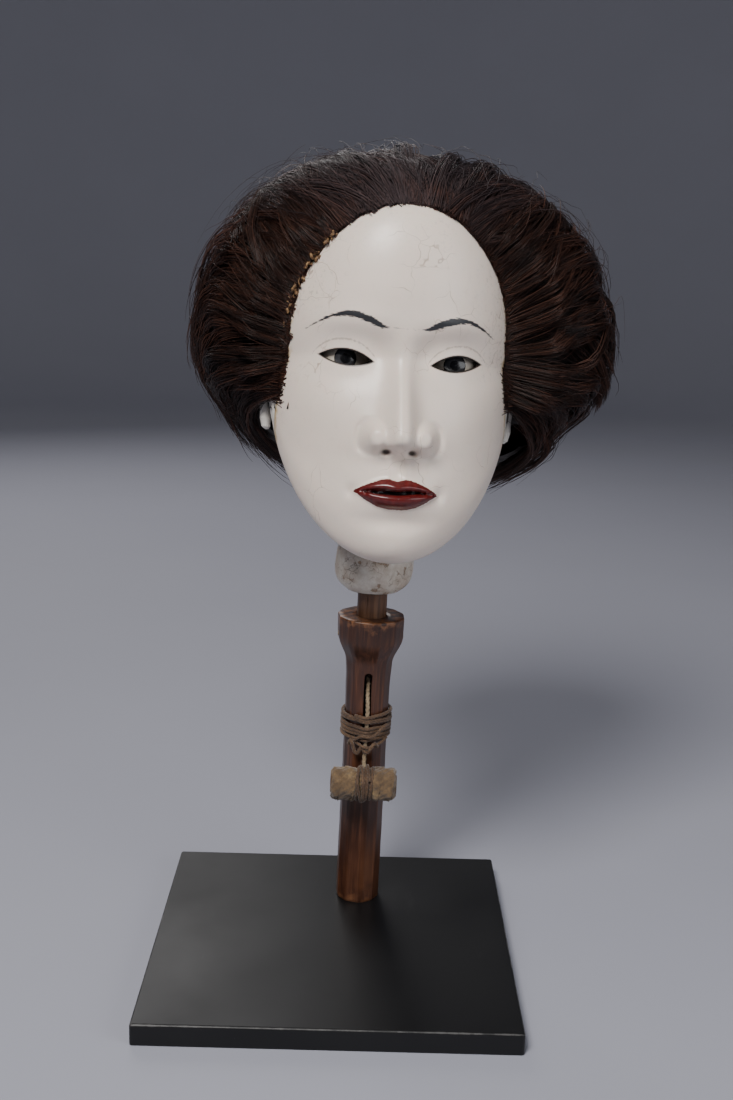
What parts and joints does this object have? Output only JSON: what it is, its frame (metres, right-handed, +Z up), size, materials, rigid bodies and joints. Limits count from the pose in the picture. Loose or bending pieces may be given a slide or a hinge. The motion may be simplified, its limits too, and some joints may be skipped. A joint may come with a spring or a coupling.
{
  "type": "puppet head on display stand",
  "caption": "Carved, white-painted puppet head with swept-back hair, moving eyes and a nodding neck, on its turned wooden grip and a square black plate.",
  "frame": {"origin": "centre of the display plate's underside", "axes": "+Z up, the face looks along -Y, +X to the right of someone looking at the face"},
  "size_m": [0.2438, 0.2519, 0.4462],
  "materials": {
    "black_paint": "satin black paint on a wooden board",
    "steel": "brushed",
    "dark_wood": "hand-worn dark red-brown, lighter at the edges",
    "brown_wood": "bare, worn",
    "bamboo": "bare bamboo",
    "shell_white": "shell-white ground, stained and finely cracked",
    "face_white": "burnished shell-white ground with painted brows and lips",
    "baleen": "baleen strip, horn-like",
    "brown_cord": "twisted cord",
    "pale_cord": "twisted cord",
    "pale_wrap": "cloth strip, wound and soiled",
    "eye_white": "painted, dulled",
    "eye_dark": "polished dark grey paint",
    "wig_net": "lacquered net",
    "nail_brass": "dulled",
    "hair": "brown-black hair"
  },
  "bodies": {
    "stand": {"base_plate": "black_paint", "mounting_rod": "steel", "mounting_screw": "steel", "grip": "dark_wood", "collar_pin": "bamboo", "neck_spindle": "brown_wood", "neck_block": "shell_white", "nod_spring": "baleen", "spring_peg": "bamboo", "grip_binding": "brown_cord", "binding_knot": "brown_cord"},
    "nod_toggle": {"nod_cord": "pale_cord", "toggle_core": "brown_wood", "toggle_wrap": "pale_wrap", "toggle_lashing": "brown_cord"},
    "eye_pull": {"eye_toggle": "bamboo", "eye_toggle_cord": "pale_cord"},
    "head": {"face_shell": "face_white", "back_shell": "shell_white", "nod_axle": "bamboo", "axle_blocks": "brown_wood", "cord_bar": "bamboo", "nod_cord_upper": "pale_cord", "eye_bar_upper": "brown_wood", "eye_bar_lower": "brown_wood", "eye_pins": "bamboo", "eye_spring": "baleen", "eye_cord_upper": "pale_cord", "wig_cap": "wig_net", "wig_nails": "nail_brass", "wig_hair": "hair"},
    "eye_left": {"eyeball_left": "eye_white", "iris_left": "eye_dark"},
    "eye_right": {"eyeball_right": "eye_white", "iris_right": "eye_dark"},
    "eye_bar_link": {"eye_link": "bamboo"}
  },
  "joints": [
    {"name": "head_nod", "type": "hinge", "parent": "stand", "child": "head", "pos_m": [0.02015, 0.048, 0.30493], "axis": [0.9951, 0.0871, -0.0471], "range_deg": [0, 22], "stiffness_Nm_per_rad": 0.9, "springref_deg": -40.11, "deforming": ["nod_cord_upper", "nod_spring", "eye_cord_upper"]},
    {"name": "nod_toggle_slide", "type": "slide", "parent": "stand", "child": "nod_toggle", "axis": [-0.0227, 0, -0.9997], "range_m": [0, 0.01018]},
    {"name": "eye_pull_slide", "type": "slide", "parent": "stand", "child": "eye_pull", "axis": [-0.0227, 0, -0.9997], "range_m": [-0.0028, 0.0028], "stiffness_N_per_m": 12, "springref_m": -0.00026, "deforming": ["eye_spring"]},
    {"name": "eye_left_turn", "type": "hinge", "parent": "head", "child": "eye_left", "pos_m": [-0.00133, -0.00953, 0.33924], "axis": [0.0343, 0.1427, 0.9892], "range_deg": [-18, 18]},
    {"name": "eye_right_turn", "type": "hinge", "parent": "head", "child": "eye_right", "pos_m": [0.05439, -0.00466, 0.33661], "axis": [0.0343, 0.1427, 0.9892], "range_deg": [-18, 18]},
    {"name": "eye_link_slide", "type": "slide", "parent": "head", "child": "eye_bar_link", "axis": [0.9951, 0.0871, -0.0471], "range_m": [-0.0029, 0.0029]}
  ],
  "couplings": [
    {"joint": "nod_toggle_slide", "follows": "head_nod", "m_per_rad": 0.026},
    {"joint": "eye_left_turn", "follows": "eye_pull_slide", "rad_per_m": 111.11},
    {"joint": "eye_right_turn", "follows": "eye_pull_slide", "rad_per_m": 111.11},
    {"joint": "eye_link_slide", "follows": "eye_pull_slide", "ratio": -1}
  ]
}
